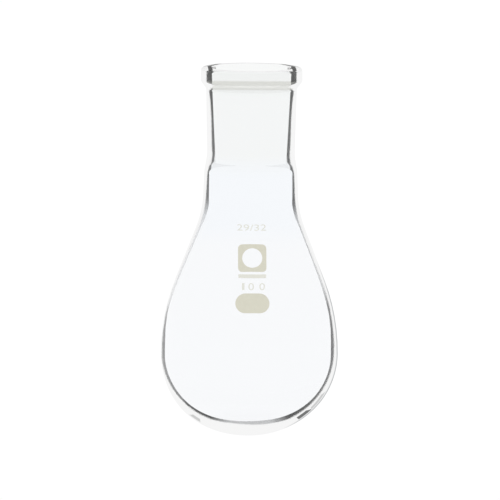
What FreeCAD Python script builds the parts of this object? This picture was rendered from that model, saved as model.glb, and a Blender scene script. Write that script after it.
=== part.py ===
import FreeCAD, Part
import math
import os

# Pear-shaped recovery flask of clear borosilicate glass, nominal 100 mL, blown in one piece. Its mouth is a
# clear 29/32 taper socket: 29.2 mm across at the rim, narrowing by one in ten over 32 mm. Two fields of
# fired-on enamel lie on the front. All sizes are in millimetres, and heights run along the flask's own axis,
# from the outside of its round bottom to its rim.
# A round bottom can't stand unheld and a flask on its side rolls, so this one is set down to drain: upside
# down on the flat of its rim, with its print towards -Y.

# Body, outside
BELLY_RADIUS = 32.2
BELLY_HEIGHT = 30.2        # the widest ring, and so the depth of the round bottom
CROWN_TURN = 45.0          # how far round from its middle the crown of the round bottom runs, in degrees
SHOULDER_RISE = 13.8       # from the widest ring to where the belly's upright meets the flank's slope
FLANK_RISE = 38.0
THROAT_FOOT_RADIUS = 17.43
FLANK_BLEND = 37.0         # radius of the sweep from flank to throat
THROAT_LENGTH = 14.6
THROAT_TOP_RADIUS = 16.87

# Walls, measured level unless they say otherwise
BOTTOM_WALL = 3.57         # upright, on the axis
CAVITY_CROWN_TURN = 30.0
BELLY_WALL = 1.85
FLANK_FOOT_WALL = 1.3
FLANK_TOP_WALL = 1.9
THROAT_FOOT_WALL = 2.2
THROAT_TOP_WALL = 1.8
INNER_FLANK_BLEND = 14.7

# Step from the throat up to the taper socket
STEP_RISE = 6.05
STEP_BLEND = 15.0
INNER_STEP_LIFT = 1.6      # how far the inner step starts above the outer one
INNER_STEP_RISE = 1.9
INNER_STEP_BLEND = 5.5
BORE_END_BLEND = 0.4       # where the bore runs out on the step

# Taper socket and its collar
SOCKET_MOUTH_DIAMETER = 29.2
SOCKET_TAPER = 0.1         # loss of diameter for each unit of length
SOCKET_LENGTH = 32.0
SOCKET_FOOT_WALL = 2.85
SOCKET_TOP_WALL = 2.2
SOCKET_FOOT_DROP = 0.15    # how far the taper runs below the top of the outer step
COLLAR_RADIUS = 18.4
COLLAR_HEIGHT = 4.9
COLLAR_SLOPE_RISE = 2.75
COLLAR_ROOT_BLEND = 1.6
COLLAR_FOOT_BLEND = 1.0
COLLAR_TOP_BLEND = 1.2
MOUTH_BLEND = 0.5

# Enamel print
ENAMEL = 0.08              # thickness of the fired coat
ENAMEL_SEAT = 0.04         # hair between glass and enamel, wider than the facets of either can stray
PATCH_HEIGHT = 52.3        # height of the middle of the writing patch
PATCH_WIDTH = 12.25
PATCH_DEPTH = 7.2
MARK_HEIGHT = 67.9         # height of the middle of the square mark
MARK_SIDE = 10.2
MARK_CORNER = 1.5
MARK_WINDOW_RADIUS = 3.6   # the clear round left in the middle of the square mark
PRINT_DRAFT = 12.0         # how deep the cutters of the print reach to each side of the glass


def meet(first, second):
    """The point where two lines cross, each given by two (radius, height) points."""
    (r1, z1), (r2, z2) = first
    (r3, z3), (r4, z4) = second
    across = (r1 - r2) * (z3 - z4) - (z1 - z2) * (r3 - r4)
    one = r1 * z2 - z1 * r2
    two = r3 * z4 - z3 * r4
    return ((one * (r3 - r4) - (r1 - r2) * two) / across, (one * (z3 - z4) - (z1 - z2) * two) / across)


def point(radius, height):
    """A point of the flask's section, which is drawn in the half plane of +X."""
    return FreeCAD.Vector(radius, 0, height)


def rounded_path(corners):
    """Edges through corners of (radius, height, blend), with an arc of radius blend at each inner corner."""
    edges = []
    last = point(*corners[0][:2])

    def add_line(end):
        if (end - last).Length > 1e-6:
            edges.append(Part.makeLine(last, end))

    for before, corner, after in zip(corners, corners[1:], corners[2:]):
        tip = point(*corner[:2])
        arriving = (tip - point(*before[:2])).normalize()
        leaving = (point(*after[:2]) - tip).normalize()
        half_turn = arriving.getAngle(leaving) / 2
        reach = corner[2] * math.tan(half_turn)
        centre = tip + (leaving - arriving).normalize() * (corner[2] / math.cos(half_turn))
        start = tip - arriving * reach
        crown = centre + (tip - centre).normalize() * corner[2]
        add_line(start)
        last = tip + leaving * reach
        edges.append(Part.Arc(start, crown, last).toShape())
    add_line(point(*corners[-1][:2]))
    return edges


def bowl(radius, depth, turn):
    """An oval round bottom of two arcs, crown and side, which meet that many degrees round from its middle."""
    sine = math.sin(math.radians(turn))
    cosine = math.cos(math.radians(turn))
    difference = (radius - depth) / (sine + cosine - 1)
    side = radius - difference * sine
    crown = side + difference
    crown_centre = point(0, BELLY_HEIGHT - depth + crown)
    side_centre = point(radius - side, BELLY_HEIGHT)

    def below(centre, reach, angle):
        return centre + point(math.sin(math.radians(angle)), -math.cos(math.radians(angle))) * reach

    return [
        Part.Arc(*[below(crown_centre, crown, angle) for angle in (0, turn / 2, turn)]).toShape(),
        Part.Arc(*[below(side_centre, side, angle) for angle in (turn, 45 + turn / 2, 90)]).toShape(),
    ]


def shoulder_blend(ring, corner, after):
    """Radius of the arc that leaves the widest ring upright and ends on the flank."""
    upright = point(*corner) - point(*ring)
    slope = point(*after) - point(*corner)
    return upright.Length / math.tan(upright.getAngle(slope) / 2)


# Heights of the outer corners
shoulder_height = BELLY_HEIGHT + SHOULDER_RISE
flank_top_height = shoulder_height + FLANK_RISE
step_foot_height = flank_top_height + THROAT_LENGTH
step_top_height = step_foot_height + STEP_RISE
socket_foot_height = step_top_height - SOCKET_FOOT_DROP
rim_height = socket_foot_height + SOCKET_LENGTH
collar_foot_height = rim_height - COLLAR_HEIGHT
collar_root_height = collar_foot_height - COLLAR_SLOPE_RISE

# The taper's bore at any height
mouth_radius = SOCKET_MOUTH_DIAMETER / 2


def bore_radius(height):
    return mouth_radius - SOCKET_TAPER / 2 * (rim_height - height)


def outer_corners():
    """Corners of the outside, from the widest ring up over the collar to the rim face."""
    ring = (BELLY_RADIUS, BELLY_HEIGHT)
    shoulder = (BELLY_RADIUS, shoulder_height)
    throat_foot = (THROAT_FOOT_RADIUS, flank_top_height)
    shoulder_radius = shoulder_blend(ring, shoulder, throat_foot)
    return [
        (*ring, 0),
        (*shoulder, shoulder_radius),
        (*throat_foot, FLANK_BLEND),
        (THROAT_TOP_RADIUS, step_foot_height, STEP_BLEND),
        (bore_radius(step_top_height) + SOCKET_FOOT_WALL, step_top_height, STEP_BLEND),
        (bore_radius(collar_root_height) + SOCKET_TOP_WALL, collar_root_height, COLLAR_ROOT_BLEND),
        (COLLAR_RADIUS, collar_foot_height, COLLAR_FOOT_BLEND),
        (COLLAR_RADIUS, rim_height, COLLAR_TOP_BLEND),
        (mouth_radius, rim_height, MOUTH_BLEND),
        (bore_radius(socket_foot_height), socket_foot_height, 0),
    ]


def inner_corners():
    """Corners of the cavity, from the foot of the taper down to the widest ring."""
    ring = (BELLY_RADIUS - BELLY_WALL, BELLY_HEIGHT)
    flank = (
        (BELLY_RADIUS - FLANK_FOOT_WALL, shoulder_height),
        (THROAT_FOOT_RADIUS - FLANK_TOP_WALL, flank_top_height),
    )
    step_foot = (THROAT_TOP_RADIUS - THROAT_TOP_WALL, step_foot_height + INNER_STEP_LIFT)
    throat = (step_foot, (THROAT_FOOT_RADIUS - THROAT_FOOT_WALL, flank_top_height))
    throat_foot = meet(flank, throat)
    shoulder = meet(flank, (ring, (ring[0], shoulder_height)))
    land_end = step_foot[1] + INNER_STEP_RISE
    return [
        (bore_radius(socket_foot_height), socket_foot_height, 0),
        (bore_radius(land_end), land_end, BORE_END_BLEND),
        (*step_foot, INNER_STEP_BLEND),
        (*throat_foot, INNER_FLANK_BLEND),
        (*shoulder, shoulder_blend(ring, shoulder, throat_foot)),
        (*ring, 0),
    ]


def make_flask():
    """The whole glass as one revolved section, open at the mouth."""
    outside = rounded_path(outer_corners())
    inside = rounded_path(inner_corners())
    outer_bowl = bowl(BELLY_RADIUS, BELLY_HEIGHT, CROWN_TURN)
    inner_bowl = bowl(BELLY_RADIUS - BELLY_WALL, BELLY_HEIGHT - BOTTOM_WALL, CAVITY_CROWN_TURN)
    bottom = Part.makeLine(point(0, BOTTOM_WALL), point(0, 0))
    section = Part.Wire(Part.__sortEdges__([*outer_bowl, *outside, *inside, *inner_bowl, bottom]))
    return Part.Face(section).revolve(FreeCAD.Vector(), FreeCAD.Vector(0, 0, 1), 360)


def moved_out(lower, upper, lift):
    """A line of the outside, from its lower to its upper corner, moved out of the glass by lift."""
    rise = upper[1] - lower[1]
    lean = lower[0] - upper[0]
    length = math.hypot(rise, lean)
    return [(corner[0] + rise / length * lift, corner[1] + lean / length * lift) for corner in (lower, upper)]


def front_edges(lift):
    """The outside from the widest ring to the foot of the step, moved out of the glass by lift."""
    corners = outer_corners()[:4]
    upright, flank, throat = [moved_out(low, high, lift) for low, high in zip(corners, corners[1:])]
    return rounded_path([
        (*upright[0], 0),
        (*meet(upright, flank), corners[1][2] + lift),
        (*meet(flank, throat), corners[2][2] - lift),
        (*throat[1], 0),
    ])


def make_coat():
    """A skin of enamel thickness over flank and throat, from which the print is cut."""
    inner = front_edges(ENAMEL_SEAT)
    outer = front_edges(ENAMEL_SEAT + ENAMEL)
    foot = Part.makeLine(inner[0].firstVertex().Point, outer[0].firstVertex().Point)
    top = Part.makeLine(inner[-1].lastVertex().Point, outer[-1].lastVertex().Point)
    section = Part.Wire(Part.__sortEdges__([*inner, top, *outer, foot]))
    return Part.Face(section).revolve(FreeCAD.Vector(), FreeCAD.Vector(0, 0, 1), 360)


def front_spot(height):
    """The place on the front of the flask at a height, and the turn that lays a drawing square on it."""
    level = Part.makeLine(point(0, height), point(2 * BELLY_RADIUS, height))
    edge = min(front_edges(0), key=lambda candidate: candidate.distToShape(level)[0])
    spot = edge.distToShape(level)[1][0][0]
    along = edge.tangentAt(edge.Curve.parameter(spot))
    lean = math.degrees(math.atan(-along.x / along.z))
    return FreeCAD.Placement(
        FreeCAD.Vector(0, -spot.x, height),
        FreeCAD.Rotation(FreeCAD.Vector(1, 0, 0), 90 - lean),
    )


def rounded_field(width, depth, corner):
    """A flat field with rounded corners, drawn about its middle."""
    right = width / 2 - corner
    top = depth / 2 - corner
    spread = corner * math.sqrt(0.5)
    edges = []
    for side, level in ((1, 1), (-1, 1), (-1, -1), (1, -1)):
        middle = FreeCAD.Vector(side * right, level * top, 0)
        beside = middle + FreeCAD.Vector(side * corner, 0, 0)
        above = middle + FreeCAD.Vector(0, level * corner, 0)
        edges.append(Part.Arc(beside, middle + FreeCAD.Vector(side * spread, level * spread, 0), above).toShape())
    for level in (1, -1):
        if right > 1e-6:
            height = level * depth / 2
            edges.append(Part.makeLine(FreeCAD.Vector(-right, height, 0), FreeCAD.Vector(right, height, 0)))
    for side in (1, -1):
        if top > 1e-6:
            reach = side * width / 2
            edges.append(Part.makeLine(FreeCAD.Vector(reach, -top, 0), FreeCAD.Vector(reach, top, 0)))
    return Part.Wire(Part.__sortEdges__(edges))


def print_cutter(outline, height):
    """A prism through the glass, square to its outside at a height."""
    face = Part.Face(outline)
    face.translate(FreeCAD.Vector(0, 0, -PRINT_DRAFT))
    prism = face.extrude(FreeCAD.Vector(0, 0, 2 * PRINT_DRAFT))
    prism.Placement = front_spot(height).multiply(prism.Placement)
    return prism


def make_writing_patch(coat):
    """A plain enamel field with round ends, to write on in pencil."""
    outline = rounded_field(PATCH_WIDTH, PATCH_DEPTH, PATCH_DEPTH / 2)
    return coat.common(print_cutter(outline, PATCH_HEIGHT))


def make_square_mark(coat):
    """A plain enamel square with rounded corners round a clear round window."""
    outline = rounded_field(MARK_SIDE, MARK_SIDE, MARK_CORNER)
    window = Part.Wire([Part.makeCircle(MARK_WINDOW_RADIUS)])
    field = coat.common(print_cutter(outline, MARK_HEIGHT))
    return field.cut(print_cutter(window, MARK_HEIGHT))


def resting_place():
    """Turns the flask over, with the flat of its rim on the ground and its print still towards -Y."""
    turned_over = FreeCAD.Rotation(FreeCAD.Vector(0, 1, 0), 180)
    return FreeCAD.Placement(FreeCAD.Vector(0, 0, rim_height), turned_over)


def main():
    os.makedirs("parts", exist_ok=True)
    coat = make_coat()
    pieces = {
        "flask": make_flask(),
        "writing_patch": make_writing_patch(coat),
        "square_mark": make_square_mark(coat),
    }
    place = resting_place()
    for name, shape in pieces.items():
        solid = shape.Solids[0]
        solid.Placement = place.multiply(solid.Placement)
        solid.exportStep("parts/" + name + ".step")
        print(name, solid.isValid(), round(solid.Volume, 2), solid.optimalBoundingBox(True, False))


main()
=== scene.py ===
import bmesh
import bpy
import math
from mathutils import Matrix, Vector


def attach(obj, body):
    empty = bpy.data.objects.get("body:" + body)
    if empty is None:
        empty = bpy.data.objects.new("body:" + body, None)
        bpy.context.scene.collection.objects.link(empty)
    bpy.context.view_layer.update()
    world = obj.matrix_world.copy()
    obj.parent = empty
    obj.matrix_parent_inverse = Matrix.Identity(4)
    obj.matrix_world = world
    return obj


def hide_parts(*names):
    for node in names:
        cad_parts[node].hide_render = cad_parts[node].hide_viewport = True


# A pear-shaped recovery flask of clear borosilicate glass with fired-on enamel print. It stands upside
# down on its rim. The glass is drawn here the right way up in millimetres, heights running from the
# outside of its round bottom to its rim, and then turned over as one.

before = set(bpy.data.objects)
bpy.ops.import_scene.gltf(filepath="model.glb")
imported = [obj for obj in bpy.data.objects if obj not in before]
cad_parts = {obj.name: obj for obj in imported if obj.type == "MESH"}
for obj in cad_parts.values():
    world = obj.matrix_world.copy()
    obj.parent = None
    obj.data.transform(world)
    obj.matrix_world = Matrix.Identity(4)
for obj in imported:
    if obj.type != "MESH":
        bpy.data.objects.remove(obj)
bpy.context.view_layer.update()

MM = 0.001
RIM = 134.5                # height of the whole flask
TURNS = 240                # steps round the glass

# Outside
BELLY_RADIUS = 32.2
BELLY_HEIGHT = 30.2        # the widest ring, and so the depth of the round bottom
CROWN_TURN = math.radians(45)          # how far round from its middle the bottom's flatter crown runs
SHOULDER = 44.0
THROAT_FOOT, THROAT_FOOT_RADIUS = 82.0, 17.43
THROAT_TOP, THROAT_TOP_RADIUS = 96.6, 16.87
FLANK_BLEND = 37.0
STEP_TOP = 102.65
STEP_BLEND = 15.0
COLLAR_ROOT = 126.85
COLLAR_FOOT = 129.6
COLLAR_RADIUS = 18.4
COLLAR_ROOT_BLEND = 1.6
COLLAR_FOOT_BLEND = 1.0
COLLAR_TOP_BLEND = 1.2
MOUTH_BLEND = 0.5

# Inside
MOUTH_RADIUS = 14.6
SOCKET_FOOT = 102.5
SOCKET_TAPER = 0.05        # loss of radius for each unit of length
BORE_END_BLEND = 0.4       # where the bore runs out on the inner step
INNER_STEP_LIFT = 1.6      # how far the inner step starts above the outer one
INNER_STEP_RISE = 1.9
INNER_STEP_BLEND = 5.5
INNER_FLANK_BLEND = 14.7
CAVITY_CROWN_TURN = math.radians(30)
BOTTOM_WALL = 3.57
BELLY_WALL = 1.85
FLANK_FOOT_WALL = 1.3
FLANK_TOP_WALL = 1.9
THROAT_FOOT_WALL = 2.2
THROAT_TOP_WALL = 1.8
SOCKET_FOOT_WALL = 2.85
SOCKET_TOP_WALL = 2.2

# Blown glass is never quite even:
CAVITY_SHIFT = 0.4         # how far the cavity sits to one side, which has the thinner wall
SHIFT_WHOLE, SHIFT_GONE = 45.0, 75.0   # up to what height it sits there fully, and not at all
THINNING = 0.4             # how much thinner the wall gets all round, a little over the widest ring
THINNING_MIDDLE, THINNING_REACH = 43.0, 14.0
FULLNESS = 0.78            # how much fuller the round bottom is on the thinner side
FULLNESS_TURN = math.radians(85)       # how far round from the bottom's middle it is fuller
CAVITY_FULLNESS = 0.55     # how much of that the cavity follows

ENAMEL_LIFT = 0.06         # how far the small print stands off the glass

GLASS_IOR = 1.473          # borosilicate glass

# What the glass does at heights over the ground, in millimetres, when it stands on its rim. How much of
# each tone goes through a surface:
TINTS = (
    (0.0, (0.960, 0.964, 0.962)), (8.0, (0.962, 0.966, 0.964)), (9.5, (0.9705, 0.9743, 0.9743)),
    (33.0, (0.9705, 0.9743, 0.9743)), (38.0, (0.9737, 0.98, 0.9875)), (58.0, (0.9737, 0.98, 0.9875)),
    (66.0, (0.9795, 0.9824, 0.9865)), (RIM, (0.9795, 0.9824, 0.9865)),
)
# Painted shade: grey bands in the glass's colour that stand in for the shade the collar's sloping foot
# throws across the neck, tilted towards the front:
PAINTED_SHADE_BANDS_TILT = math.radians(5.5)
PAINTED_SHADE_BANDS = (
    (0.0, (1.0, 1.0, 1.0)), (4.9, (1.0, 1.0, 1.0)), (5.05, (0.81, 0.805, 0.775)),
    (6.5, (0.8, 0.795, 0.765)), (6.65, (0.915, 0.91, 0.885)), (7.4, (0.915, 0.91, 0.885)),
    (7.5, (0.8, 0.795, 0.77)), (8.15, (0.8, 0.795, 0.77)), (8.3, (0.99, 0.99, 0.99)),
    (9.0, (1.0, 1.0, 1.0)), (RIM, (1.0, 1.0, 1.0)),
)
# How dark the line is where the inner wall turns light back, on the thicker and the thinner side:
DARKS = (
    (0.0, 0.93, 0.93), (4.6, 0.93, 0.93), (5.2, 0.1, 0.1), (6.1, 0.1, 0.1), (6.6, 0.95, 0.95),
    (12.0, 0.94, 0.94), (17.0, 0.88, 0.9), (24.0, 0.87, 0.87), (35.0, 0.87, 0.87), (37.0, 0.9, 0.9),
    (47.0, 0.92, 0.88), (50.0, 0.85, 0.6), (54.0, 0.5, 0.3), (60.0, 0.45, 0.25), (79.5, 0.4, 0.25),
    (81.5, 0.5, 0.25), (84.5, 0.8, 0.3), (86.5, 0.9, 0.45), (90.5, 0.92, 0.88), (100.0, 0.92, 0.9),
    (112.0, 0.88, 0.85), (118.5, 0.9, 0.85), (120.5, 0.98, 0.97), (124.5, 1.0, 1.0),
    (127.0, 0.8, 0.8), (RIM, 0.8, 0.8),
)
# Where that line fades towards the middle: how far out it starts to, how far out it has, how much:
MIDDLES = (
    (0.0, (12.7, 12.2, 0.97)), (2.4, (12.7, 12.2, 0.97)), (2.8, (12.7, 12.2, 0.0)),
    (27.0, (11.8, 11.5, 0.0)), (31.0, (11.8, 11.5, 0.9)), (34.3, (11.9, 11.6, 0.9)),
    (35.2, (12.9, 12.6, 0.9)), (36.2, (13.4, 13.1, 0.9)), (37.4, (13.4, 13.1, 0.9)),
    (38.2, (12.8, 11.8, 0.0)), (120.0, (13.5, 7.0, 0.0)), (123.0, (13.5, 7.0, 0.5)),
    (RIM, (13.5, 7.0, 0.5)),
)
# How far round to the edge the outside starts to mirror the room, on the same two sides:
EDGES = (
    (0.0, 0.51, 0.51), (6.2, 0.515, 0.515), (6.6, 0.64, 0.64), (8.5, 0.62, 0.62), (12.0, 0.565, 0.56),
    (18.0, 0.535, 0.53), (28.0, 0.53, 0.525), (31.5, 0.505, 0.5), (34.3, 0.5, 0.5), (35.2, 0.56, 0.56),
    (38.0, 0.61, 0.61), (56.5, 0.63, 0.66), (80.7, 0.72, 0.83), (90.5, 0.705, 0.83),
    (100.0, 0.7, 0.83), (107.6, 0.67, 0.835), (120.4, 0.62, 0.61), (126.2, 0.59, 0.53),
    (127.5, 0.52, 0.47), (RIM, 0.5, 0.46),
)
EDGE_SOFTNESS = 0.05

# Other places on the glass, in millimetres, and tones of what it mirrors:
HALVES = (-6.0, 6.0)       # between which the thicker side's values give way to the thinner side's
SEEN_MIDDLE = 0.25         # the middle as the camera sees it, which stands a little to one side
HEAD_ON = (0.25, 0.2)      # from where on, by Facing, a ray meets the glass nearly head on
ABOVE_NECK = (42.0, 48.0)
BELOW_BOWL = (108.0, 100.0)
ROOM_TONE = 0.9
# Painted shade: a darker outermost line on the belly's thicker side, put into the mirror's colour.
PAINTED_LINE_SHADE = (0.46, 0.47, 0.48, 1.0)    # of the outermost line
LINE_FACING = (0.82, 0.9)
LINE_SIDE = (-12.0, -20.0)
LINE_FOOT = (70.0, 82.0)
FACE_DEPTH = 0.5           # what lies lower than this is the rim's flat face
# Painted shade: a grey edge on the far half of the rim's flat face, in the mirror's colour.
PAINTED_FAR_EDGE_SHADE = 0.66
FAR_EDGE_RADII = (16.1, 16.5)
FAR_EDGE_START = (0.0, 4.0)
# Painted shade: a dark stroke at each side of the rim's flat face, in the mirror's colour.
PAINTED_STROKE_SHADE = 0.1
STROKE_MIDDLE, STROKE_HALF = 15.15, 0.75
STROKE_BEND = (4.2, 14.2)  # how far back the strokes start to bend in, and where they are done
STROKE_BEND_IN = 4.3
STROKE_FADE = (1.0, 6.0)   # how far back they start to fade, and where they are done
STROKE_STRENGTHS = (0.96, 0.76)


def linear(hex_colour):
    """An sRGB colour such as D8D6C6 as linear light."""
    parts = [int(hex_colour[at:at + 2], 16) / 255 for at in (0, 2, 4)]
    return tuple(p / 12.92 if p <= 0.04045 else ((p + 0.055) / 1.055) ** 2.4 for p in parts) + (1.0,)


def grey(level):
    """A grey of a level in linear light."""
    return (level, level, level, 1.0)


def put(tree, kind, settings=None, links=None):
    """Adds a node, with its settings by socket or property name, and what is linked into its sockets."""
    node = tree.nodes.new(kind)
    for name, value in (settings or {}).items():
        if isinstance(name, int) or name in node.inputs:
            node.inputs[name].default_value = value
        else:
            setattr(node, name, value)
    for name, source in (links or {}).items():
        tree.links.new(source, node.inputs[name])
    return node


def put_mixed(tree, kind, settings, inputs):
    """Adds a node whose inputs are each a number or another node's value, and gives its first value."""
    numbers = {name: value for name, value in inputs.items() if isinstance(value, float)}
    nodes = {name: value for name, value in inputs.items() if name not in numbers}
    return put(tree, kind, {**settings, **numbers}, nodes).outputs[0]


def sums(tree, operation, *values):
    """Works values into one, by an operation of the Math node."""
    return put_mixed(tree, "ShaderNodeMath", {"operation": operation}, dict(enumerate(values)))


def run(tree, value, start, end, low=0.0, high=1.0):
    """A value that runs from low to high while another one runs from start to end."""
    ends = {"From Min": start, "From Max": end, "To Min": low, "To Max": high}
    return put_mixed(tree, "ShaderNodeMapRange", {}, {"Value": value, **ends})


def run_mm(tree, place, ends, low=0.0, high=1.0):
    """The same for a place on the glass and two places in millimetres."""
    return run(tree, place, ends[0] * MM, ends[1] * MM, low, high)


def product(tree, *values):
    """All the values multiplied."""
    whole = values[0]
    for value in values[1:]:
        whole = sums(tree, "MULTIPLY", whole, value)
    return whole


def toned(tree, share, first, second):
    """A tone between two, the first one perhaps another node's."""
    settings = {"data_type": "RGBA", 7: second, **({6: first} if isinstance(first, tuple) else {})}
    links = {0: share, **({} if isinstance(first, tuple) else {6: first})}
    return put(tree, "ShaderNodeMix", settings, links).outputs[2]


def blank(name):
    """A new material with an output and nothing else."""
    material = bpy.data.materials.new(name)
    material.use_nodes = True
    material.node_tree.nodes.clear()
    output = material.node_tree.nodes.new("ShaderNodeOutputMaterial")
    return material, material.node_tree, output


def object_from(name, bm):
    """Makes a drawing an object of the scene."""
    mesh = bpy.data.meshes.new(name)
    bm.to_mesh(mesh)
    bm.free()
    made = bpy.data.objects.new(name, mesh)
    bpy.context.scene.collection.objects.link(made)
    return made


def piece(name, bm, material, smooth):
    """Makes a drawing a piece of the flask."""
    made = object_from(name, bm)
    for polygon in made.data.polygons:
        polygon.use_smooth = smooth
    made.data.materials.append(material)
    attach(made, "root")
    return made


def turned_over(bm):
    """Turns a drawing over, sets its rim on the ground and takes it from millimetres to metres."""
    bmesh.ops.rotate(bm, verts=bm.verts, cent=(0, 0, 0), matrix=Matrix.Rotation(math.pi, 3, "Y"))
    bmesh.ops.translate(bm, verts=bm.verts, vec=(0, 0, RIM))
    bmesh.ops.scale(bm, verts=bm.verts, vec=(MM, MM, MM))


# Glass: its section

def draw_line(bm, last, radius, height):
    """Draws the section on to a corner, unless it is there already."""
    target = Vector((radius, 0, height))
    if (target - last.co).length < 1e-5:
        return last
    made = bmesh.ops.extrude_vert_indiv(bm, verts=[last])["verts"][0]
    made.co = target
    return made


def draw_arc(bm, last, centre, angle, steps):
    """Draws the section on round an arc."""
    made = bmesh.ops.spin(
        bm, geom=[last], cent=(centre[0], 0, centre[1]), axis=(0, 1, 0), angle=angle, steps=steps,
        use_duplicate=False,
    )
    return [part for part in made["geom_last"] if isinstance(part, bmesh.types.BMVert)][0]


def draw_path(bm, last, corners):
    """Draws the section on through corners of (radius, height, blend), round an arc at each one between."""
    for before_it, corner, after_it in zip(corners, corners[1:], corners[2:]):
        tip = Vector(corner[:2])
        arriving = (tip - Vector(before_it[:2])).normalized()
        leaving = (Vector(after_it[:2]) - tip).normalized()
        turn = arriving.angle_signed(leaving)
        start = tip - arriving * corner[2] * math.tan(abs(turn) / 2)
        centre = tip + (leaving - arriving).normalized() * corner[2] / math.cos(turn / 2)
        last = draw_line(bm, last, *start)
        last = draw_arc(bm, last, centre, turn, max(6, round(abs(turn) * 14)))
    return draw_line(bm, last, *corners[-1][:2])


def meet(first, second):
    """Where two lines cross, each given by two (radius, height) points."""
    one, two = Vector(first[0]), Vector(first[1]) - Vector(first[0])
    three, four = Vector(second[0]), Vector(second[1]) - Vector(second[0])
    along = (three - one).cross(four) / two.cross(four)
    return tuple(one + two * along)


def shoulder_blend(ring, corner, after):
    """Radius of the arc that leaves the widest ring upright and ends on the flank."""
    upright = Vector(corner[:2]) - Vector(ring[:2])
    return upright.length / math.tan(upright.angle(Vector(after[:2]) - Vector(corner[:2])) / 2)


def bore(height):
    """Radius of the taper at a height."""
    return MOUTH_RADIUS - SOCKET_TAPER * (RIM - height)


def bowl_arcs(radius, depth, crown_turn):
    """The two radii of an oval round bottom, crown and side, whose arcs meet where the crown ends."""
    more = (radius - depth) / (math.sin(crown_turn) + math.cos(crown_turn) - 1)
    return radius + more * (1 - math.sin(crown_turn)), radius - more * math.sin(crown_turn)


outer_ring = (BELLY_RADIUS, BELLY_HEIGHT)
outer_shoulder = (BELLY_RADIUS, SHOULDER)
outer_throat_foot = (THROAT_FOOT_RADIUS, THROAT_FOOT)
outer_corners = [
    (*outer_ring, 0),
    (*outer_shoulder, shoulder_blend(outer_ring, outer_shoulder, outer_throat_foot)),
    (*outer_throat_foot, FLANK_BLEND),
    (THROAT_TOP_RADIUS, THROAT_TOP, STEP_BLEND),
    (bore(STEP_TOP) + SOCKET_FOOT_WALL, STEP_TOP, STEP_BLEND),
    (bore(COLLAR_ROOT) + SOCKET_TOP_WALL, COLLAR_ROOT, COLLAR_ROOT_BLEND),
    (COLLAR_RADIUS, COLLAR_FOOT, COLLAR_FOOT_BLEND),
    (COLLAR_RADIUS, RIM, COLLAR_TOP_BLEND),
    (MOUTH_RADIUS, RIM, MOUTH_BLEND),
    (bore(SOCKET_FOOT), SOCKET_FOOT, 0),
]
inner_ring = (BELLY_RADIUS - BELLY_WALL, BELLY_HEIGHT)
inner_flank = (
    (BELLY_RADIUS - FLANK_FOOT_WALL, SHOULDER), (THROAT_FOOT_RADIUS - FLANK_TOP_WALL, THROAT_FOOT),
)
inner_step_foot = (THROAT_TOP_RADIUS - THROAT_TOP_WALL, THROAT_TOP + INNER_STEP_LIFT)
inner_throat = (inner_step_foot, (THROAT_FOOT_RADIUS - THROAT_FOOT_WALL, THROAT_FOOT))
inner_throat_foot = meet(inner_flank, inner_throat)
inner_shoulder = meet(inner_flank, (inner_ring, (inner_ring[0], SHOULDER)))
bore_end = inner_step_foot[1] + INNER_STEP_RISE
inner_corners = [
    (bore(SOCKET_FOOT), SOCKET_FOOT, 0),
    (bore(bore_end), bore_end, BORE_END_BLEND),
    (*inner_step_foot, INNER_STEP_BLEND),
    (*inner_throat_foot, INNER_FLANK_BLEND),
    (*inner_shoulder, shoulder_blend(inner_ring, inner_shoulder, inner_throat_foot)),
    (*inner_ring, 0),
]


outline = []               # heights and radii of the glass's outside, up to the neck


def make_uneven(vert, lining):
    """Moves a point of the drawn glass, or of its lining, to where the unevenness of blown glass puts it."""
    fuller = FULLNESS
    if lining:
        reach = vert.co.xy.length
        from_middle = (vert.co.z - THINNING_MIDDLE) / THINNING_REACH
        if abs(from_middle) < 1 and reach > 1:
            wider = 1 + THINNING * math.cos(from_middle * math.pi / 2) ** 2 / reach
            vert.co.x, vert.co.y = vert.co.x * wider, vert.co.y * wider
        shifted = (SHIFT_GONE - vert.co.z) / (SHIFT_GONE - SHIFT_WHOLE)
        vert.co.x -= CAVITY_SHIFT * min(max(shifted, 0.0), 1.0)
        fuller *= CAVITY_FULLNESS
    if vert.co.x < -1e-6 and vert.co.z < BELLY_HEIGHT:
        out = vert.co - Vector((0, 0, BELLY_HEIGHT))
        turn = math.atan2(out.xy.length, -out.z) / FULLNESS_TURN
        if turn < 1:
            vert.co += out.normalized() * fuller * math.sin(math.pi * turn) ** 2 * -out.x / out.xy.length


def glass_mesh():
    """One section from the bottom's outside up over the rim and back down inside, swept once round."""
    bm = bmesh.new()
    lining = bm.verts.layers.int.new("lining")
    crown, side = bowl_arcs(BELLY_RADIUS, BELLY_HEIGHT, CROWN_TURN)
    last = bm.verts.new((0, 0, 0))
    last = draw_arc(bm, last, (0, crown), -CROWN_TURN, 26)
    last = draw_arc(bm, last, (BELLY_RADIUS - side, BELLY_HEIGHT), CROWN_TURN - math.pi / 2, 26)
    last = draw_path(bm, last, outer_corners)
    outline.extend((vert.co.z, vert.co.x) for vert in bm.verts if vert.co.z < THROAT_TOP)
    shell = set(bm.verts)
    last = draw_path(bm, last, inner_corners)
    crown, side = bowl_arcs(inner_ring[0], BELLY_HEIGHT - BOTTOM_WALL, CAVITY_CROWN_TURN)
    side_turn = math.pi / 2 - CAVITY_CROWN_TURN
    last = draw_arc(bm, last, (inner_ring[0] - side, BELLY_HEIGHT), side_turn, 30)
    last = draw_arc(bm, last, (0, BOTTOM_WALL + crown), CAVITY_CROWN_TURN, 22)
    for vert in bm.verts:
        vert[lining] = vert not in shell
    bmesh.ops.spin(
        bm, geom=[*bm.verts, *bm.edges], cent=(0, 0, 0), axis=(0, 0, 1), angle=math.tau, steps=TURNS,
        use_merge=True, use_duplicate=False,
    )
    for vert in bm.verts:
        make_uneven(vert, vert[lining])
    bmesh.ops.remove_doubles(bm, verts=bm.verts, dist=1e-4)
    bmesh.ops.recalc_face_normals(bm, faces=bm.faces)
    turned_over(bm)
    return bm


# Glass: its material

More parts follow.
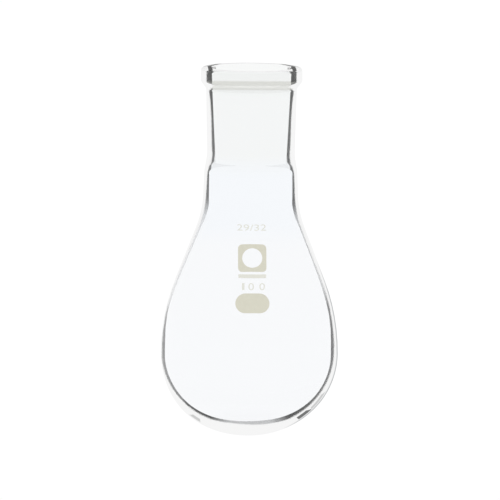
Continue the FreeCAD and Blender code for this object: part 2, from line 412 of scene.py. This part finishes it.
def by_height(tree, share, stops):
    """A value or tone that runs from stop to stop with the height."""
    ramp = put(tree, "ShaderNodeValToRGB", links={0: share})
    for at, level in stops[1:-1]:
        ramp.color_ramp.elements.new(at / RIM)
    for element, (at, level) in zip(ramp.color_ramp.elements, stops):
        element.color = (*level, 1.0) if isinstance(level, tuple) else grey(level)
    return ramp.outputs[0]


def by_side(tree, share, thin, stops):
    """A value that runs with the height, and from the thicker side's to the thinner side's."""
    thick_side = by_height(tree, share, [(at, level) for at, level, _ in stops])
    thin_side = by_height(tree, share, [(at, level) for at, _, level in stops])
    both = {0: thin, 2: thick_side, 3: thin_side}
    return put(tree, "ShaderNodeMix", {"data_type": "FLOAT"}, both).outputs[0]


def dark_line(tree, spot, path, share, thin):
    """How much of the light the inner wall turns back, which leaves a thin dark line beside each edge."""
    stops = [(at, (start * MM, done * MM, much)) for at, (start, done, much) in MIDDLES]
    fade = put(tree, "ShaderNodeSeparateXYZ", links={0: by_height(tree, share, stops)}).outputs
    off_middle = sums(tree, "ABSOLUTE", sums(tree, "SUBTRACT", spot["X"], SEEN_MIDDLE * MM))
    faded = run(tree, off_middle, fade["X"], fade["Y"], 0.0, fade["Z"])
    first_wall = sums(tree, "LESS_THAN", path["Ray Depth"], 1.5)
    kept = sums(tree, "SUBTRACT", first_wall, faded)
    return product(tree, by_side(tree, share, thin, DARKS), kept)


def seen_print(tree, spot, facing):
    """Where the print is seen through the glass nearly head on, and so has to show undistorted."""
    head_on = run(tree, facing, *HEAD_ON)
    return product(
        tree, head_on, run_mm(tree, spot["Z"], ABOVE_NECK), run_mm(tree, spot["Z"], BELOW_BOWL),
    )


def walls(tree, place, spot, path, facing, share, thin):
    """How light goes through. The first surface bends it as real glass does. Further in, what isn't bent
    goes straight on, because light that ran on round inside the wall would leave broad black bands."""
    tint = by_height(tree, share, TINTS)
    # Painted shade: grey bands by tilted height, multiplied into the first surface's colour.
    tilted = put(tree, "ShaderNodeMapping", {"Rotation": (-PAINTED_SHADE_BANDS_TILT, 0.0, 0.0)}, {0: place})
    level = put(tree, "ShaderNodeSeparateXYZ", links={0: tilted.outputs[0]}).outputs["Z"]
    bands = by_height(tree, run_mm(tree, level, (0.0, RIM)), PAINTED_SHADE_BANDS)
    tint_and_painted_bands = put(
        tree, "ShaderNodeMix", {"data_type": "RGBA", "blend_type": "MULTIPLY", 0: 1.0}, {6: tint, 7: bands},
    )
    clear = put(
        tree, "ShaderNodeBsdfGlass", {"IOR": GLASS_IOR, "Roughness": 0.0}, {"Color": tint_and_painted_bands.outputs[2]},
    )
    bent = put(tree, "ShaderNodeBsdfRefraction", {"IOR": GLASS_IOR, "Roughness": 0.0}, {"Color": tint})
    straight = put(tree, "ShaderNodeBsdfRefraction", {"IOR": 1.0, "Roughness": 0.0}, {"Color": tint})
    bends = sums(
        tree, "MAXIMUM", dark_line(tree, spot, path, share, thin), seen_print(tree, spot, facing),
    )
    further = put(tree, "ShaderNodeMixShader", links={0: bends, 1: straight.outputs[0], 2: bent.outputs[0]})
    inside = sums(tree, "GREATER_THAN", path["Ray Depth"], 0.5)
    both = {0: inside, 1: clear.outputs[0], 2: further.outputs[0]}
    return put(tree, "ShaderNodeMixShader", links=both).outputs[0]


def mirror_tone_with_painted_shade(tree, spot, facing):
    """The outside mirrors nearly all of the room, and its colour carries painted shade: a darker outermost
    line on the belly's thicker side, and on the rim's flat face a dark stroke at each side and a grey edge
    to its far half."""
    outermost = run(tree, facing, *LINE_FACING)
    line = product(tree, outermost, run_mm(tree, spot["X"], LINE_SIDE), run_mm(tree, spot["Z"], LINE_FOOT))
    tone = toned(tree, line, grey(ROOM_TONE), PAINTED_LINE_SHADE)

    face = sums(tree, "LESS_THAN", spot["Z"], FACE_DEPTH * MM)
    flat = put(tree, "ShaderNodeCombineXYZ", links={"X": spot["X"], "Y": spot["Y"]})
    length = put(tree, "ShaderNodeVectorMath", {"operation": "LENGTH"}, {0: flat.outputs[0]})
    painted_far_edge = run_mm(tree, length.outputs["Value"], FAR_EDGE_RADII)
    painted_far_edge = product(tree, painted_far_edge, run_mm(tree, spot["Y"], FAR_EDGE_START), face)
    tone = toned(tree, painted_far_edge, tone, grey(PAINTED_FAR_EDGE_SHADE))

    bend = run_mm(tree, spot["Y"], STROKE_BEND, 0.0, STROKE_BEND_IN * MM)
    sideways = sums(tree, "ADD", sums(tree, "ABSOLUTE", spot["X"]), bend)
    stroke = sums(tree, "COMPARE", sideways, STROKE_MIDDLE * MM, STROKE_HALF * MM)
    stroke = product(tree, stroke, run_mm(tree, spot["Y"], STROKE_FADE, *STROKE_STRENGTHS), face)
    return toned(tree, stroke, tone, grey(PAINTED_STROKE_SHADE))


def glass_material():
    """Clear borosilicate glass: nearly white straight through, a thin dark line where the inner wall turns
    light back, and pale again out to the rim of each wall, where the outside mirrors the room."""
    material, tree, output = blank("borosilicate glass")
    place = put(tree, "ShaderNodeTexCoord").outputs["Object"]
    spot = put(tree, "ShaderNodeSeparateXYZ", links={0: place}).outputs
    path = put(tree, "ShaderNodeLightPath").outputs
    facing = put(tree, "ShaderNodeLayerWeight", {"Blend": 0.5}).outputs["Facing"]
    share = run_mm(tree, spot["Z"], (0.0, RIM))
    thin = run_mm(tree, spot["X"], HALVES)
    through = walls(tree, place, spot, path, facing, share, thin)
    tone = mirror_tone_with_painted_shade(tree, spot, facing)
    # The mirror's colour carries the painted shade of the line, the strokes and the far edge.
    mirror = put(tree, "ShaderNodeBsdfAnisotropic", {"Roughness": 0.02}, {"Color": tone})
    edge = by_side(tree, share, thin, EDGES)
    grazing = run(tree, facing, edge, sums(tree, "ADD", edge, EDGE_SOFTNESS))
    outside_face = sums(tree, "LESS_THAN", path["Transmission Depth"], 0.5)
    mirrors = product(tree, grazing, outside_face)
    whole = put(tree, "ShaderNodeMixShader", links={0: mirrors, 1: through, 2: mirror.outputs[0]})
    tree.links.new(whole.outputs[0], output.inputs["Surface"])
    return material


glass = piece("flask_glass", glass_mesh(), glass_material(), True)
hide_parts("flask")


# Enamel

CLOUDS = 0.9               # clouds of tone to each millimetre
PINHOLES = 9.0             # pinholes to each millimetre, coarser than real ones so that they show
PINHOLE_DEPTH = 0.02


def enamel_material(name, low, high):
    """Fired-on enamel: pale beige, slightly uneven in tone, with a soft satin gloss and fine pinholes."""
    material, tree, output = blank(name)
    place = put(tree, "ShaderNodeTexCoord").outputs["Object"]
    cloud = put(tree, "ShaderNodeTexNoise", {"Scale": CLOUDS / MM, "Detail": 3.0}, {"Vector": place})
    grain = put(tree, "ShaderNodeTexNoise", {"Scale": PINHOLES / MM, "Detail": 2.0}, {"Vector": place})
    bump = put(
        tree, "ShaderNodeBump", {"Strength": 0.25, "Distance": PINHOLE_DEPTH * MM},
        {"Height": grain.outputs[0]},
    )
    skin = put(
        tree, "ShaderNodeBsdfPrincipled", {"Roughness": 0.45, "IOR": 1.5, "Specular IOR Level": 0.4},
        {"Base Color": toned(tree, cloud.outputs[0], linear(low), linear(high)), "Normal": bump.outputs[0]},
    )
    tree.links.new(skin.outputs[0], output.inputs["Surface"])
    return material


enamel = enamel_material("fired-on enamel", "D3D1C0", "DAD8C8")
for name in ("writing_patch", "square_mark"):
    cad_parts[name].data.materials.clear()
    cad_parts[name].data.materials.append(enamel)


def outside(height):
    """Radius of the glass's outside at a height, read off the section."""
    for (low, wide), (high, narrow) in zip(outline, outline[1:]):
        if low <= height <= high:
            return wide + (narrow - wide) * (height - low) / (high - low)


def wrapped(bm, across, up):
    """Lays a flat drawing round the front of the flank, its middle so far across and so far up."""
    lean = math.atan2(outside(up - 1) - outside(up + 1), 2)
    for vert in bm.verts:
        height = up + vert.co.y * math.cos(lean)
        radius = outside(height)
        turn = (across + vert.co.x) / radius
        reach = radius + ENAMEL_LIFT + vert.co.z
        vert.co = (reach * math.sin(turn), -reach * math.cos(turn), height)
    turned_over(bm)
    return bm


def letters(words, width, depth):
    """Flat lettering of a width and depth, about its middle."""
    curve = bpy.data.curves.new("lettering", "FONT")
    curve.body = words
    curve.extrude = 0.02
    holder = bpy.data.objects.new("lettering", curve)
    flat = bpy.data.meshes.new_from_object(holder)
    bm = bmesh.new()
    bm.from_mesh(flat)
    bpy.data.objects.remove(holder)
    bpy.data.curves.remove(curve)
    bpy.data.meshes.remove(flat)
    ends = [(min(values), max(values)) for values in zip(*[vert.co[:2] for vert in bm.verts])]
    bmesh.ops.translate(bm, verts=bm.verts, vec=(-sum(ends[0]) / 2, -sum(ends[1]) / 2, 0))
    bmesh.ops.scale(
        bm, verts=bm.verts, vec=(width / (ends[0][1] - ends[0][0]), depth / (ends[1][1] - ends[1][0]), 1),
    )
    return bm


def bar(width, depth):
    """A flat strip about its middle, cut across so that it can follow the glass."""
    bm = bmesh.new()
    bmesh.ops.create_grid(bm, x_segments=24, y_segments=1, size=0.5)
    bmesh.ops.scale(bm, verts=bm.verts, vec=(width, depth, 1))
    return bm


small_print = enamel_material("thinly printed enamel", "DEDED4", "E6E6DD")
for name, drawing, across, up in (
    ("joint_size", letters("29/32", 10.6, 2.3), -0.2, 78.4),
    ("print_line", bar(10.0, 1.4), 0.0, 61.6),
    ("capacity_1", letters("1", 0.9, 2.6), -3.3, 58.05),
    ("capacity_2", letters("0", 2.0, 2.6), -0.45, 58.05),
    ("capacity_3", letters("0", 2.0, 2.6), 3.5, 58.05),
):
    printed = piece(name, wrapped(drawing, across, up), small_print, False)


# Stage, in metres

FLOOR_RADIUS = 4.0
FLOOR_DROP = 0.00005       # just under the rim, so that the two faces don't share a plane
FLOOR_GLOW = 0.88          # the floor shines by itself, so that it is evenly pale close to the rim too
LAMP_SIZE = 1.2

world = bpy.data.worlds.new("studio")
bpy.context.scene.world = world
world.use_nodes = True
world.node_tree.nodes["Background"].inputs["Color"].default_value = grey(1.0)
world.node_tree.nodes["Background"].inputs["Strength"].default_value = 1.02

floor_bm = bmesh.new()
bmesh.ops.create_circle(floor_bm, cap_ends=True, segments=96, radius=FLOOR_RADIUS)
bmesh.ops.translate(floor_bm, verts=floor_bm.verts, vec=(0, 0, -FLOOR_DROP))
floor = object_from("floor", floor_bm)
floor_material, floor_tree, floor_out = blank("pale floor")
matt = put(floor_tree, "ShaderNodeBsdfDiffuse", {"Color": grey(0.1)})
glow = put(floor_tree, "ShaderNodeEmission", {"Color": grey(1.0), "Strength": FLOOR_GLOW})
table = put(floor_tree, "ShaderNodeAddShader", links={0: matt.outputs[0], 1: glow.outputs[0]})
gone = put(floor_tree, "ShaderNodeBsdfTransparent")
below = put(floor_tree, "ShaderNodeNewGeometry").outputs["Backfacing"]
seen = put(floor_tree, "ShaderNodeMixShader", links={0: below, 1: table.outputs[0], 2: gone.outputs[0]})
floor_tree.links.new(seen.outputs[0], floor_out.inputs["Surface"])
floor.data.materials.append(floor_material)

lamp = bpy.data.lights.new("softbox", "AREA")
lamp.shape = "RECTANGLE"
lamp.size = LAMP_SIZE
lamp.size_y = LAMP_SIZE
lamp.energy = 1.0
softbox = bpy.data.objects.new("softbox", lamp)
softbox.location = (-1.2, -1.4, 1.6)
softbox.rotation_euler = (Vector((0, 0, 0.07)) - softbox.location).to_track_quat("-Z", "Y").to_euler()
softbox.visible_glossy = False
bpy.context.scene.collection.objects.link(softbox)


def card(name, reach, across, along, shade):
    """A small card behind the flask that glows at a set shade and is hidden from all rays but mirrored ones,
    so it shows only as a soft reflected stroke in the edge of the glass's round bottom. Its middle is so far
    from the bottom's, and it spans so far each way across and along."""
    bm = bmesh.new()
    bmesh.ops.create_grid(bm, x_segments=1, y_segments=1, size=1.0)
    across, along = Vector(across), Vector(along)
    spread = Matrix((across, along, across.cross(along).normalized())).transposed()
    bmesh.ops.transform(bm, verts=bm.verts, matrix=spread.to_4x4())
    bmesh.ops.translate(bm, verts=bm.verts, vec=Vector((0, 0, 0.124)) + Vector(reach))
    made = object_from(name, bm)
    material, tree, output = blank(name)
    card_glow = put(tree, "ShaderNodeEmission", {"Color": grey(shade)})
    tree.links.new(card_glow.outputs[0], output.inputs["Surface"])
    made.data.materials.append(material)
    for ray in ("camera", "diffuse", "transmission", "shadow", "volume_scatter"):
        setattr(made, "visible_" + ray, False)


card("dark_card", (-0.349, 0.785, 0.508), (0.055, 0.08, -0.082), (0.037, 0.0, 0.025), 0.2)
card("grey_card", (-0.42, 0.806, 0.41), (0.06, 0.055, -0.048), (0.044, 0.0, 0.046), 0.68)
card("pale_card", (0.26, 0.82, 0.51), (-0.07, 0.058, -0.088), (-0.02, -0.014, 0.028), 0.68)

# Camera: the photograph looks a little down on the rim, so with the flask turned over the camera is turned
# over too, and looks a little up from under the floor, which can't be seen from below.
LOOK_UP = math.radians(5.5)
SWING = math.radians(2.0)
LEAN = math.radians(0.49)
DISTANCE = 2.0
MIDDLE_HEIGHT = 0.06725

from_flask = Vector((math.sin(SWING), -math.cos(SWING), 0)) * math.cos(LOOK_UP)
from_flask.z = -math.sin(LOOK_UP)
eye = from_flask * DISTANCE
ahead = (Vector((0, 0, MIDDLE_HEIGHT)) - eye).normalized()
right = Vector((-math.cos(SWING), -math.sin(SWING), 0))
upward = right.cross(ahead)
right, upward = (
    right * math.cos(LEAN) + upward * math.sin(LEAN), upward * math.cos(LEAN) - right * math.sin(LEAN),
)
camera_data = bpy.data.cameras.new("camera")
camera_data.sensor_width = 36.0
camera_data.lens = 397.8
camera_data.shift_x = -0.0002
camera_data.shift_y = 0.0032
camera = bpy.data.objects.new("camera", camera_data)
camera.matrix_world = Matrix((right, upward, -ahead)).transposed().to_4x4()
camera.location = eye
bpy.context.scene.collection.objects.link(camera)
bpy.context.scene.camera = camera
bpy.context.scene.view_settings.view_transform = "Standard"
